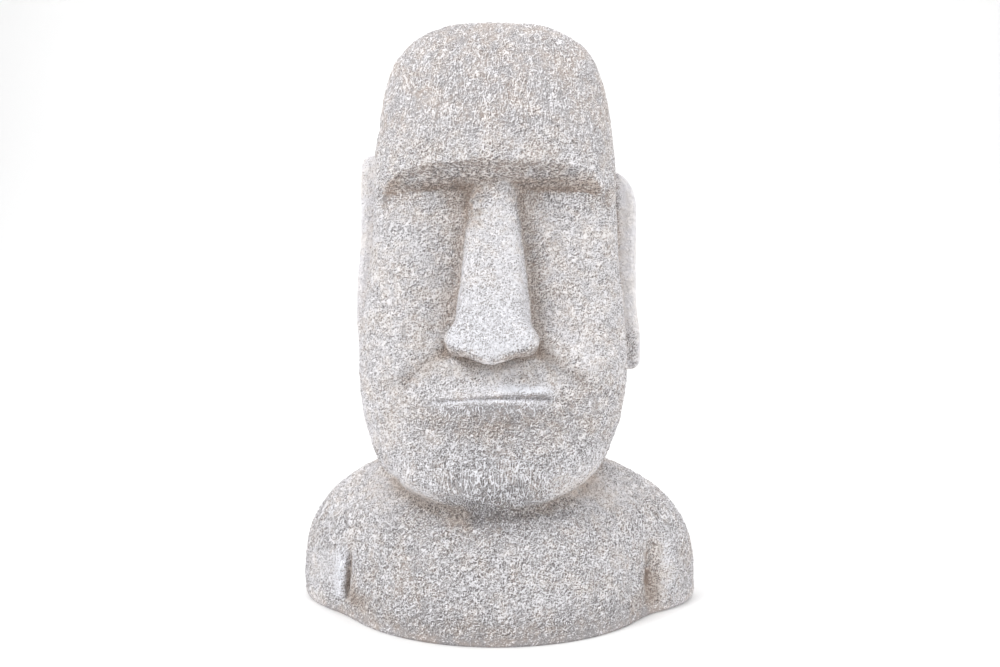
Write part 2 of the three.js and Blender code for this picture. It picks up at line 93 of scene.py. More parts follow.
NOSE_HALF = curve([(235, 28), (262, 29), (300, 26.5), (350, 22.5), (400, 19)])


def blend(a, b, k):
    h = np.clip(0.5 + 0.5 * (b - a) / k, 0, 1)
    return b + (a - b) * h - k * h * (1 - h)


def meet(a, b, k):
    return -blend(-a, -b, k)


def step(t):
    t = np.clip(t, 0, 1)
    return t * t * (3 - 2 * t)


def soft(t, r):
    return 0.5 * (t + np.sqrt(t * t + r * r))


def slope(t, r):
    return soft(t, r) - soft(t - 1, r)


def bump(t):
    return np.exp(-0.5 * t * t)


def rounded_box(px, pf, pz, hx, hf, hz, r):
    qx, qf, qz = np.abs(px) - hx + r, np.abs(pf) - hf + r, np.abs(pz) - hz + r
    out = np.sqrt(np.maximum(qx, 0) ** 2 + np.maximum(qf, 0) ** 2 + np.maximum(qz, 0) ** 2)
    return out + np.minimum(np.maximum(qx, np.maximum(qf, qz)), 0) - r


def oval(x, f, rise, half, reach, plan, w, power):
    p = ((np.abs(x) / half) ** plan + np.abs(f / reach) ** plan) ** (1 / plan)
    n = (p ** power + w ** power) ** (1 / power)
    return np.sqrt(x * x + f * f + rise * rise), 1 - 1 / np.maximum(n, 1e-3)


def face_front(x, z):
    ax = np.abs(x)
    face = FACE(z)
    face = face - 6 * bump((ax - 36 - 0.06 * (400 - z)) / 15) * step((z - 235) / 60) * step((420 - z) / 40)
    face = face + 3 * bump((ax - 76) / 24) * bump((z - 290) / 50)
    face = face + MUZZLE * bump(x / 50) * bump((z - 216) / 22)
    face = face - LIP_HOLLOW * bump(x / 50) * bump((z - 184) / 12)
    face = face + CHIN_SWELL * bump(x / 46) * bump((z - CHIN_Z) / 20)
    lip = z - (MOUTH_Z - 0.001 * x * x + 0.02 * x)
    open_right = step((x + 25) / 70)
    gap = 1.6 + 3.6 * open_right
    face = face + step((MOUTH_HALF + 5 - ax) / 26) * (2.8 * bump((lip - gap - 2.4) / 2.9) + 2.0 * bump((lip + 2.8) / 2.3))
    face = face - step((MOUTH_HALF - ax) / 8) * (2.4 + 1.6 * open_right) * np.clip(1 - lip / gap, 0, 1) * step(lip + 1)
    fold = z - (252 - 0.62 * (ax - 38))
    face = face - FOLD * bump(fold / 6.5) * step((ax - 34) / 10) * step((100 - ax) / 28)
    bx = np.abs(x - BROW_SHIFT)
    t = np.minimum(bx / BROW_HALF, 1)
    root = BROW_ROOT - (BROW_ROOT - BROW_ROOT_END) * t ** 2.5
    edge = root + (BROW_EDGE - BROW_ROOT) * np.cbrt(1 - t ** 3)
    spread = np.minimum(bx / (BROW_HALF + 30 * step((z - BROW_EDGE) / 120)), 1)
    out = (1 - spread ** 2) ** (0.5 + 0.5 * step((z - BROW_EDGE) / 60))
    return face + OVERHANG(z) * out * slope((z - root) / np.maximum(edge - root, 2.5), 0.1)


def head(x0, f0, z):
    x, f = x0 - SIDE_SHIFT(z), f0 - HEAD_CORE
    front = f > 0
    reach = np.where(front, face_front(x0, z) - HEAD_CORE, HEAD_CORE + BACK(z))
    plan = np.where(front, FRONT_POWER(z), HEAD_BACK_POWER)
    forward = step(f / 70)
    lifted = JAW_RISE * forward * np.minimum(x * x, 12100.0) / 10000
    start, end = JAW_START + (CHIN_START - JAW_START) * forward + 0.4 * lifted, JAW_END + (CHIN_END - JAW_END) * forward + lifted
    up = z > CROWN_START
    w = np.where(up, (z - CROWN_START) / (HEAD_TOP - CROWN_START), np.maximum(0, (start - z) / (start - end)))
    power = np.where(up, CROWN_POWER, JAW_POWER + (CHIN_POWER - JAW_POWER) * forward)
    rise = np.where(up, z - CROWN_START, np.maximum(0, start - z))
    p, s = oval(x, f, rise, HALF_WIDTH(z), reach, plan, w, power)
    return p * s


def nose(x, f, z):
    ax = np.abs(x)
    ridge = NOSE_RIDGE(z)
    front, side = (f - ridge) * 0.93, (ax - (NOSE_HALF(z) + 0.15 * (ridge - f))) * 0.99
    under = (NOSE_BOTTOM + 0.16 * ax - 0.16 * (f - 120) - z) * 0.98
    d = meet(meet(front, side, 12), meet(under, z - NOSE_TOP, 6), 11)
    d = meet(d, 30 - f, 2)

    def ball(cx, cf, cz, rx, rf, rz):
        return (np.sqrt(((ax - cx) / rx) ** 2 + ((f - cf) / rf) ** 2 + ((z - cz) / rz) ** 2) - 1) * min(rx, rf, rz)

    d = blend(d, ball(28.5, 100, 262, 13, 20, 13.5), 9)
    return blend(d, ball(0, 112, 257, 18, 15.5, 14), 9)


def ear(x, f, z):
    left = x < 0
    ax = np.abs(x)
    top = np.where(left, EAR_TOP_L, EAR_TOP_R)
    mid, half = (top + EAR_BOTTOM) / 2, (top - EAR_BOTTOM) / 2
    t = (z - mid) / half
    lean = 0.05 * (z - mid)
    swell = np.where(left, 4 * bump((z - 298) / 34), 3.5 * bump((z - 250) / 22))
    outer = EAR_OUTER + swell - np.where(left, 2, 17) * np.clip((t - 0.62) / 0.38, 0, 1) ** 2.2
    width = EAR_HALF + 4 * bump((t - 0.74) / 0.3) + 4.5 * bump((t + 0.76) / 0.3)
    qx, qf, qz = ax - (outer - 30) - 30 + 9, np.abs(f + EAR_BACKSET + lean) - width + 10, np.abs(z - mid) - half + 9
    d = np.sqrt(np.maximum(qx, 0) ** 2 + np.maximum(qf, 0) ** 2 + np.maximum(qz, 0) ** 2)
    d = d + np.minimum(np.maximum(qx, np.maximum(qf, qz)), 0) - 9
    channel = rounded_box(ax - (outer + 3), f + EAR_BACKSET + 2 + lean, z - (mid + 12), 8, width - 9.5, half - 34, 5)
    return meet(d, -channel, 6)


def torso(x0, f0, z):
    x, f = x0 + 1.5, f0 + 34
    front = f > 0
    p, s = oval(x, f, np.maximum(0, z - 14), TORSO_HALF, np.where(front, TORSO_FRONT + 34, TORSO_BACK - 34),
                np.where(front, 2.0, 2.8), np.maximum(0, (z - 14) / (TORSO_TOP - 14)), 2.1)
    return p * s


def arms(x, f0, z):
    f = f0 + 40
    front = f > 0
    side = step((x + 90) / 180)
    top = SHOULDER_TOP_L + (SHOULDER_TOP_R - SHOULDER_TOP_L) * side
    reach = np.where(front, 50 + (ARM_FRONT_L + (ARM_FRONT_R - ARM_FRONT_L) * side - 10) * step((160 - z) / 90), SHOULDER_BACK - 40)
    p, s = oval(x, f, np.maximum(0, z - 20), SHOULDER_HALF, reach, np.where(front, 1.9, 2.6), np.maximum(0, (z - 20) / (top - 20)), 2.65 - 0.15 * side)
    return np.minimum(p, 90) * s


def crease_place(x, f, z):
    """Across the crease between arm and chest, outward, and how far along it we are, 0 to 1."""
    left = x < 0
    u = np.abs(x) - 0.1 * (f - 25) - np.where(left, 135.0 - 0.05 * (z - 40), 141.0 + 0.03 * (z - 40))
    low, high, tall = np.where(left, 12.0, 6.0), np.where(left, 73.0, 90.0), np.where(left, 30.0, 40.0)
    return u, step((z - low) / 8) * step((high - z) / tall) * step((f + 12) / 24)


def arm_crease(x, f, z):
    """How deep that crease is cut: one wall steep, the other leaning."""
    left = x < 0
    u, run = crease_place(x, f, z)
    wall = np.where(left, np.where(u > 0, 1.4, 2.6), np.where(u > 0, 11.0, 2.6))
    rim = np.where(left, 2.6 * bump((u - 8) / 4.5), 1.8 * bump((u - 27) / 6))
    return run * (np.where(left, 7.0, 4.5) * np.exp(-np.sqrt(u * u + 0.4) / wall) - rim)


def body(x, f, z):
    h = blend(head(x, f, z), nose(x, f, z), 5)
    h = blend(h, ear(x, f, z), 3.5)
    t = blend(torso(x, f, z), arms(x, f, z), 9 + 28 * step((z - 45) / 55))
    t = t + arm_crease(x, f, z)
    t = meet(t, -(z + SKIN_BELOW), FOOT_ROUNDING)
    return blend(h, t, 10 + 14 * step((f - 10) / 40) * step((np.abs(x) - 55) / 45))


# ------------------------------------------------------------------ sampling
def heights(lo, hi, h):
    """Levels h apart, and half as far apart across the mouth."""
    out = [lo]
    while out[-1] < hi or (len(out) - 1) % 4:
        out.append(out[-1] + (0.5 * h if 202 < out[-1] < 222 else h))
    return np.array(out)


def band(field, lo, hi, h, coarse=4):
    n = [int(np.ceil((hi[i] - lo[i]) / h / coarse)) * coarse + 1 for i in range(2)]
    ax = [lo[i] + h * np.arange(n[i]) for i in range(2)] + [heights(lo[2], hi[2], h)]
    n.append(len(ax[2]))
    rough = field(*np.meshgrid(*[a[::coarse] for a in ax], indexing="ij"))
    near = np.abs(rough) < coarse * h * 2.2
    idx = np.ix_(*[np.clip((np.arange(n[i]) + coarse // 2) // coarse, 0, rough.shape[i] - 1) for i in range(3)])
    full = (np.sign(rough) * 1e3).astype(np.float32)[idx]
    cells = np.nonzero(near[idx])
    vals = np.empty(len(cells[0]), np.float32)
    for s in range(0, len(vals), 1_000_000):
        q = slice(s, s + 1_000_000)
        vals[q] = field(ax[0][cells[0][q]], ax[1][cells[1][q]], ax[2][cells[2][q]])
    full[cells] = vals
    return full, ax


def surface(V, ax):
    inside = V < 0
    shape = V.shape
    count = np.zeros([s - 1 for s in shape], np.uint8)
    corners = [(a, b, c) for a in (0, 1) for b in (0, 1) for c in (0, 1)]
    for a, b, c in corners:
        count += inside[a:shape[0] - 1 + a, b:shape[1] - 1 + b, c:shape[2] - 1 + c]
    active = (count > 0) & (count < 8)
    cells = np.stack(np.nonzero(active), 1)
    ids = np.full(active.shape, -1, np.int64)
    ids[active] = np.arange(len(cells))
    total, weight = np.zeros((len(cells), 3)), np.zeros(len(cells))

    def value(o):
        return V[cells[:, 0] + o[0], cells[:, 1] + o[1], cells[:, 2] + o[2]].astype(float)

    for a in corners:
        for axis in range(3):
            if a[axis]:
                continue
            b = list(a)
            b[axis] = 1
            va, vb = value(a), value(b)
            crossed = (va < 0) != (vb < 0)
            p = np.tile(np.array(a, float), (len(cells), 1))
            p[:, axis] = np.where(crossed, va / (va - vb + 1e-30), 0)
            total[crossed] += p[crossed]
            weight += crossed
    P = cells + total / weight[:, None]
    P = np.stack([np.interp(P[:, i], np.arange(len(ax[i])), ax[i]) for i in range(3)], 1)
    quads = []
    for axis in range(3):
        low, high = [slice(None)] * 3, [slice(None)] * 3
        low[axis], high[axis] = slice(0, -1), slice(1, None)
        a, b = inside[tuple(low)], inside[tuple(high)]
        cut = np.stack(np.nonzero(a != b), 1)
        o1, o2 = (axis + 1) % 3, (axis + 2) % 3
        cut = cut[(cut[:, o1] > 0) & (cut[:, o2] > 0) & (cut[:, o1] < shape[o1] - 1) & (cut[:, o2] < shape[o2] - 1)]

        def cell(d1, d2):
            q = cut.copy()
            q[:, o1] -= d1
            q[:, o2] -= d2
            return ids[q[:, 0], q[:, 1], q[:, 2]]

        q = np.stack([cell(1, 1), cell(0, 1), cell(0, 0), cell(1, 0)], 1)
        flip = ~a[tuple(cut.T)]
        q[flip] = q[flip][:, ::-1]
        quads.append(q)
    return P, np.concatenate(quads)


# ------------------------------------------------------------------ seeded gradient noise
GRADS = np.array([(1, 1, 0), (-1, 1, 0), (1, -1, 0), (-1, -1, 0), (1, 0, 1), (-1, 0, 1), (1, 0, -1), (-1, 0, -1),
                  (0, 1, 1), (0, -1, 1), (0, 1, -1), (0, -1, -1), (1, 1, 0), (0, -1, 1), (-1, 1, 0), (0, -1, -1)], float)


def noise(p, seed=0):
    order = np.random.default_rng(1000 + seed).permutation(256)
    order = np.concatenate([order, order])
    i = np.floor(p).astype(int)
    f = p - i
    i &= 255
    u = f * f * f * (f * (f * 6 - 15) + 10)
    total = 0
    for a in (0, 1):
        for b in (0, 1):
            for c in (0, 1):
                g = GRADS[order[order[order[i[:, 0] + a & 255] + (i[:, 1] + b & 255)] + (i[:, 2] + c & 255)] & 15]
                d = g[:, 0] * (f[:, 0] - a) + g[:, 1] * (f[:, 1] - b) + g[:, 2] * (f[:, 2] - c)
                w = (u[:, 0] if a else 1 - u[:, 0]) * (u[:, 1] if b else 1 - u[:, 1]) * (u[:, 2] if c else 1 - u[:, 2])
                total = total + w * d
    return total * 1.5


def layers(p, size, octaves, seed):
    total, amp, norm = 0, 1.0, 0
    for k in range(octaves):
        total = total + amp * noise(p / size + 17.3 * k, seed + k)
        norm += amp
        amp *= 0.55
        size *= 0.5
    return total / norm


# ------------------------------------------------------------------ the body, with its relief
def vertex_normals(P, Q):
    a, b = P[Q[:, 2]] - P[Q[:, 0]], P[Q[:, 3]] - P[Q[:, 1]]
    n = np.cross(a, b)
    out = np.zeros_like(P)
    for k in range(4):
        for c in range(3):
            out[:, c] += np.bincount(Q[:, k], n[:, c], len(P))
    return out / (np.linalg.norm(out, axis=1, keepdims=True) + 1e-12)


P, Q = surface(*band(body, (-205, -126, -8), (205, 140, 566), GRID))
N = vertex_normals(P, Q)


def blur(a, r):
    for axis in (0, 1, 2, 0, 1, 2):
        pad = [(0, 0)] * 3
        pad[axis] = (r + 1, r)
        c = np.cumsum(np.pad(a, pad), axis=axis, dtype=np.float64)
        n, w = a.shape[axis], 2 * r + 1
        a = ((np.take(c, np.arange(w, w + n), axis) - np.take(c, np.arange(n), axis)) / w).astype(np.float32)
    return a


def read(grid, axes, p):
    q = [(p[:, i] - axes[i][0]) / (axes[i][1] - axes[i][0]) for i in range(3)]
    i = [np.clip(np.floor(v).astype(int), 0, grid.shape[k] - 2) for k, v in enumerate(q)]
    t = [v - i[k] for k, v in enumerate(q)]
    total = 0
    for a in (0, 1):
        for b in (0, 1):
            for c in (0, 1):
                w = (t[0] if a else 1 - t[0]) * (t[1] if b else 1 - t[1]) * (t[2] if c else 1 - t[2])
                total = total + w * grid[i[0] + a, i[1] + b, i[2] + c]
    return total


def hollows():
    """How much of a small and of a wide ball round each point is stone: above a half in folds, below on edges."""
    h = 3.5
    axes = [np.arange(lo, hi + h, h) for lo, hi in ((-214, 214), (-134, 148), (-16, 574))]
    X, F = np.meshgrid(axes[0], axes[1], indexing="ij")
    full = np.stack([np.clip(0.5 - body(X, F, np.full_like(X, k)) / h, 0, 1) for k in axes[2]], 2).astype(np.float32)
    return read(blur(full, 3), axes, P) - 0.5, read(blur(full, 7), axes, P) - 0.5


near_fold, wide_fold = hollows()
x, f, z = P.T
ax = np.abs(x)
ragged = 0.34 * layers(P, 5.5, 3, 91)
# the brow's underside: tan in its lower half, and darker as painted shade
brow = step((-N[:, 2] + ragged - 0.25) / 0.3) * step((z - 372) / 12) * step((f - 30) / 20)
under = np.maximum(brow, step((-N[:, 2] - 0.45) / 0.45) * step((z - 60) / 20))
# hollows, folds and undersides: tan where the wash doesn't reach, and darker as painted shade
recess = np.clip(0.75 * step((near_fold - 0.04) / 0.16) + 0.3 * step((wide_fold - 0.02) / 0.18) + 0.45 * under + 0.5 * brow, 0, 1)
edge = step((-near_fold - 0.05) / 0.13) * (1 - under) * step((z - 14) / 10)
mouth = step((MOUTH_HALF + 7 - ax) / 12) * step((f - 60) / 10) * bump((z - MOUTH_Z - 1) / 7)
lip = z - (MOUTH_Z - 0.001 * x * x + 0.02 * x)
# painted highlight along the upper lip's edge and the lower lip's top
lip_highlight = step((MOUTH_HALF + 3 - ax) / 10) * step((f - 60) / 10) * (bump((lip - 8.5) / 2.8) * (0.12 + 0.95 * bump((x - 26) / 20)) + 0.7 * bump((lip + 1.4) / 0.9) * (0.5 + 0.5 * bump((x + 10) / 40)))
# painted shadow of the upper lip in the mouth slit, widest on the right
lip_shadow = step((MOUTH_HALF - 1 - ax) / 6) * step((f - 60) / 10) * bump((lip - 1.6 - 1.4 * step((x + 10) / 50)) / (1.2 + 1.2 * step((x + 10) / 50))) * (0.5 + 0.7 * step((x + 25) / 70))
fold = z - (252 - 0.62 * (ax - 38))
# along the fold from the nose wing: tan tint, and darker as painted shade in the fold
cheek_fold = bump(fold / 6.5) * step((ax - 36) / 10) * step((98 - ax) / 24) * step((f - 40) / 10)
chin_shade = bump(x / 50) * bump((z - 190) / 10) * step((f - 60) / 10)

# where the tool ran: upright on forehead and chin, slanting on the shoulders, in all directions elsewhere
upright = np.clip(step((z - 425) / 40) + step((175 - z) / 25) * step((z - 92) / 20) * step((110 - ax) / 30) * step((f - 20) / 40), 0, 1)
slant = step((ax - 85) / 40) * step((150 - z) / 20) * step((z - 60) / 30)
on_nose = step((34 + 0.05 * (400 - z) - ax) / 8) * step((f - 66) / 10) * step((z - 240) / 8) * step((410 - z) / 12)
on_ear = step((ax - 116) / 6) * step((z - 224) / 8) * step((442 - z) / 8) * step((-8 - f) / 7) * step((f + 64) / 8)
side = step((ax - 100) / 16) * step((z - 150) / 20) * step((-6 - f) / 20)
rear = step((-f - 60) / 25)
calm = np.clip(0.5 * on_nose + 0.55 * on_ear + 0.35 * side + 0.3 * rear + 0.8 * step((9 - z) / 4), 0, 0.9)
calm = np.maximum(calm, 0.6 * step((recess - 0.18) / 0.4))
calm = np.maximum(calm, 0.9 * mouth)

S = np.stack([x, f, z * (1 - 0.55 * upright)], 1)                       # stretched along the strokes
turn = np.sign(x) * 0.75 * slant
S = np.stack([x * np.cos(turn) + z * np.sin(turn), f, (z * np.cos(turn) - x * np.sin(turn)) * (1 - 0.45 * slant)], 1) * slant[:, None] + S * (1 - slant[:, None])
warp = np.stack([layers(P + 31, 16, 2, 40), layers(P + 67, 16, 2, 50), layers(P - 43, 16, 2, 60)], 1)

swell = 0.9 * layers(P, 60, 2, 1) + 0.7 * layers(P + 9, 24, 2, 5)
worms = 1 - np.abs(noise((S + 5 * warp) / 7.5, 11)) * 2.6
knobs = layers(S + 3 * warp, 8.5, 2, 21)
pits = step((noise((S + 4 * warp) / 8.0, 31) - 0.30) / 0.45)
fine = noise((S + 2 * warp) / 4.6, 71)
tooled = 0.42 * np.clip(worms, -0.5, 1) + 0.55 * knobs - 1.15 * pits + 0.30 * fine
lift = swell * (1 - 0.5 * calm) * step((z + 2) / 10) + tooled * (1 - calm)
flat = step((z - 0.2) / 3.0)                                          # the underside stays flat
P = P + N * (lift * flat)[:, None]

# a shallow line runs round the foot
P = P - N * (0.9 * bump((z - 6.0) / 1.1) * step((f - 0) / 30))[:, None]
P[:, 2] = np.maximum(P[:, 2], 0)
height = np.clip(0.5 + 0.42 * tooled, 0, 1)

mesh = bpy.data.meshes.new("moai_body")
verts = np.stack([P[:, 0], -P[:, 1], P[:, 2]], 1) / 1000
mesh.vertices.add(len(verts))
mesh.vertices.foreach_set("co", verts.astype(np.float32).ravel())
faces = Q[:, ::-1]
mesh.loops.add(faces.size)
mesh.loops.foreach_set("vertex_index", faces.astype(np.int32).ravel())
mesh.polygons.add(len(faces))
mesh.polygons.foreach_set("loop_start", np.arange(0, faces.size, 4, dtype=np.int32))
mesh.update(calc_edges=True)
mesh.validate()
ahead = step((f - 20) / 30)
bx = np.minimum(np.abs(x - BROW_SHIFT) / BROW_HALF, 1)
root_line = (z - (BROW_ROOT - (BROW_ROOT - BROW_ROOT_END) * bx ** 2.5) - 0.8) / 1.5
# painted shade: a dark line in the crease where the brow meets the face
brow_root_shade = bump(root_line) * step((ax - 24) / 4) * step((106 - ax) / 6) * step((f - 20) / 20) * (0.45 + 0.55 * step((noise(P / 12, 78) + 0.25) / 0.4))
u, run = crease_place(x, f, z)
# in the crease between arm and chest: tan on the left; painted shade with dark holes on the right
crease_tan_and_shade = run * np.where(x < 0, np.exp(-(np.abs(u) / 2.4) ** 2) * (0.55 + 0.45 * step((noise(P / 7, 76) + 0.3) / 0.4)), 3.4 * bump((u - 1.0) / 1.4) * step((44 - z) / 4) * step((z - 27) / 4) + 0.3 * bump((u - 1.5) / 2.5) * step((noise(P / 6, 77) - 0.02) / 0.25))
arm_tan = run * np.where(x < 0, bump((u + 8) / 6) * step((48 - z) / 24), bump((u - 8) / 9) * (0.5 + 0.5 * step((52 - z) / 20))) + 0.7 * bump((x + 120) / 14) * bump((z - 18) / 9) * ahead
# painted shade under the two ends of the brow
corners = np.exp(-((ax - 100) / 5) ** 2 - ((z - 389) / 6) ** 2) * ahead * step((f - 10) / 20)
cheeks = step((z - 236) / 20) * step((388 - z) / 30) * step((ax - 34) / 12) * ahead
chin = bump(x / 62) * step((178 - z) / 20) * step((z - 96) / 8) * ahead
lips = bump(x / 55) * step((246 - z) / 10) * step((z - 172) / 14) * ahead
chest = step((112 - z) / 20) * step((z - 12) / 6)
comb = step((156 - z) / 18) * step((z - 103 - 0.0016 * x * x) / 6) * step((60 - ax) / 20) * ahead
hatch = step((MOUTH_HALF - 4 - ax) / 14) * step((f - 60) / 10) * bump((lip + 8) / 4.5)
comb = np.clip(np.maximum(comb, hatch), 0, 1)
# painted shade under the chin
under_chin_shade = bump((z - 99 - 0.0016 * x * x) / 6.5) * bump(x / 62) * step((f - 40) / 20)
# the front darkens towards the floor: painted shade
bias = 0.08 * edge + on_nose * (0.19 + 0.08 * step((400 - z) / 150)) - 0.20 * recess - 0.06 * step((8.5 - z) / 1.5) - 0.52 * step((34 - z) / 20) * step((f - 10) / 30) * (1 - 0.7 * bump((x + 116) / 26))
# the band under the nose is lightened: painted light lifting the nose's shadow
bias = bias + 0.55 * lip_highlight - 0.6 * lip_shadow - 0.14 * cheek_fold - 0.50 * chin_shade - 0.20 * brow - 0.9 * brow_root_shade - 0.65 * corners + 0.40 * bump(x / 64) * bump((z - 238) / 13) * ahead - 0.10 * bump(x / 50) * bump((z - 224) / 5) * ahead
# the ears lightened towards the front, the right one more: painted light on the ear in the head's shade
bias = bias + 0.20 * cheeks - 0.12 * chin + 0.07 * bump(x / 50) * bump((z - 228) / 9) * ahead + on_ear * (0.3 + 0.7 * step((f + 42) / 16)) * np.where(x > 0, 1.10, 0.66)
# left jaw and left arm side lighter, right ones darker: painted light from the left; around the arm creases lighter:
# painted light lifting their shade
bias = bias - 0.16 * step((z - 420) / 40) - 0.05 * step((z - 510) / 20) + np.where(x < 0, 0.20, -0.02) * step((230 - z) / 20) * step((z - 150) / 20) * step((ax - 60) / 20) + 0.17 * slant + 0.12 * bump((z - 113) / 8) * bump(x / 50) * ahead - 0.10 * chest + 0.04 * run * (x > 0) + 0.10 * lips * (f > 60) * step((z - 214) / 6) - 0.52 * under_chin_shade + 0.38 * run * (x < 0) * (1 + bump((u - 9) / 4.5)) * (u > -6) + 0.08 * run * (x > 0) - np.where(x < 0, -0.3, 0.6) * crease_tan_and_shade - 0.03 * arm_tan + np.where(x < 0, 0.06, -0.10) * step((ax - 135) / 20) * step((f + 40) / 40) * (z < 140)
# lighter where jaw meets shoulder: painted light lifting the shade of the join
join = bump((ax - 84) / 26) * bump((z - 124) / 17) * step((f + 20) / 20)
# painted shade: a dark line in the fold between chin and chest
neck_crease_shade = bump((z - 101.5 - 0.0040 * x * x) / 2.2) * bump(x / 78) * step((f - 40) / 20)
# tan band where the jaw meets the left shoulder, also lightened: painted light lifting the shade there
neck_tan_and_light = bump((z - 98.5 - 0.0040 * x * x) / 6.5) * step((100 - ax) / 12) * (step((-x - 10) / 14) + 0.4 * step((x - 14) / 14)) * step((f - 10) / 20)
# painted shadow along the nose's lower edge and nostrils, brownish
nose_underside_shade = step((262 - 9 * bump(x / 15) - z) / 7) * step((z - 243) / 4) * (0.6 + 0.4 * step((ax - 8) / 8)) * step((46 - ax) / 6) * step((f - 70) / 10)
arm_ridge = np.where(x < 0, bump((u - 9) / 7) * step((z - 5) / 6) * step((80 - z) / 20), bump((u - 21) / 7) * run) * step((f + 12) / 24)
nose_root = step((30 - ax) / 6) * step((f - 40) / 10) * step((404 - z) / 8) * (step((-x - 6) / 6) + 0.2 * step((x - 10) / 8)) * step((z - 352) / 22) * (0.5 + 0.5 * step((noise(P / 6, 79) + 0.2) / 0.4))
# the right crease's outer wall lightened: painted light lifting its shade
bias = bias - 0.95 * nose_underside_shade + 0.14 * brow * step((404 - z) / 8) - 0.08 * brow * step((z - 406) / 6) + 0.40 * join + 0.08 * on_nose * (1 + step((z - 290) / 30)) + np.where(x < 0, 0.05, 0.22) * arm_ridge - 0.08 * nose_root - 0.42 * neck_crease_shade + 0.52 * neck_tan_and_light + 0.10 * recess * np.minimum(neck_tan_and_light, 1) + 0.22 * run * (x > 0) * bump((u - 20) / 7)
tan = np.clip(0.55 * recess * (1 - 0.6 * brow * step((z - 402) / 8)) + brow * (0.04 + 0.75 * step((408 - z) / 9) * step((noise(P * [0.3, 1, 1] / 7, 95) + 0.35) / 0.7)) + 0.3 * cheek_fold + np.where(x < 0, 0.6, 0.85) * arm_tan + np.where(x < 0, 1.0, 0.3) * crease_tan_and_shade + 0.16 * join + 1.0 * nose_root + 0.25 * neck_crease_shade + 0.8 * neck_tan_and_light + 0.6 * nose_underside_shade  + 0.05 * on_ear, 0, 1)
tan = tan - 0.28 * arm_ridge - 0.35 * under_chin_shade * (1 - np.minimum(neck_tan_and_light, 1)) - 0.2 * on_nose - 0.4 * on_nose * step((330 - z) / 60) * (1 - recess) - 0.5 * chin - 1.0 * lip_highlight - 0.5 * np.clip(lip_shadow, 0, 1) - 0.6 * hatch - 0.5 * run * (x < 0) * bump((u - 9) / 5) - 0.15 * chest * (tan < 0.2)
force = 1 + 0.5 * recess * ahead * step((146 - z) / 12) + 0.10 * on_nose + 0.25 * on_ear + 0.1 * cheeks - 0.12 * step((z - 420) / 40) + 0.35 * chin + 0.2 * slant + 0.15 * chest + 0.2 * lips * (1 - mouth) - 0.25 * mouth + 0.25 * brow
force = force * (1 - 0.25 * side) * (1 - 0.25 * rear) - 0.35 * step((8.5 - z) / 1.5)
for name, data in (("bias", bias), ("tan", tan), ("force", force), ("height", height), ("upright", upright), ("slant", slant), ("streak", under), ("comb", comb)):
    mesh.attributes.new(name, "FLOAT", "POINT").data.foreach_set("value", data.astype(np.float32))
bust = bpy.data.objects.new("moai_body", mesh)
bpy.context.scene.collection.objects.link(bust)

thin = bust.modifiers.new("thin", "DECIMATE")
thin.ratio = min(1.0, TRIANGLES / (2 * len(Q)))
bpy.context.view_layer.update()
done = bpy.data.meshes.new_from_object(bust.evaluated_get(bpy.context.evaluated_depsgraph_get()))
bust.modifiers.clear()
bust.data = done
done.name = "moai_body"
done.polygons.foreach_set("use_smooth", np.ones(len(done.polygons), bool))
print("BODY triangles", sum(len(p.vertices) - 2 for p in done.polygons))
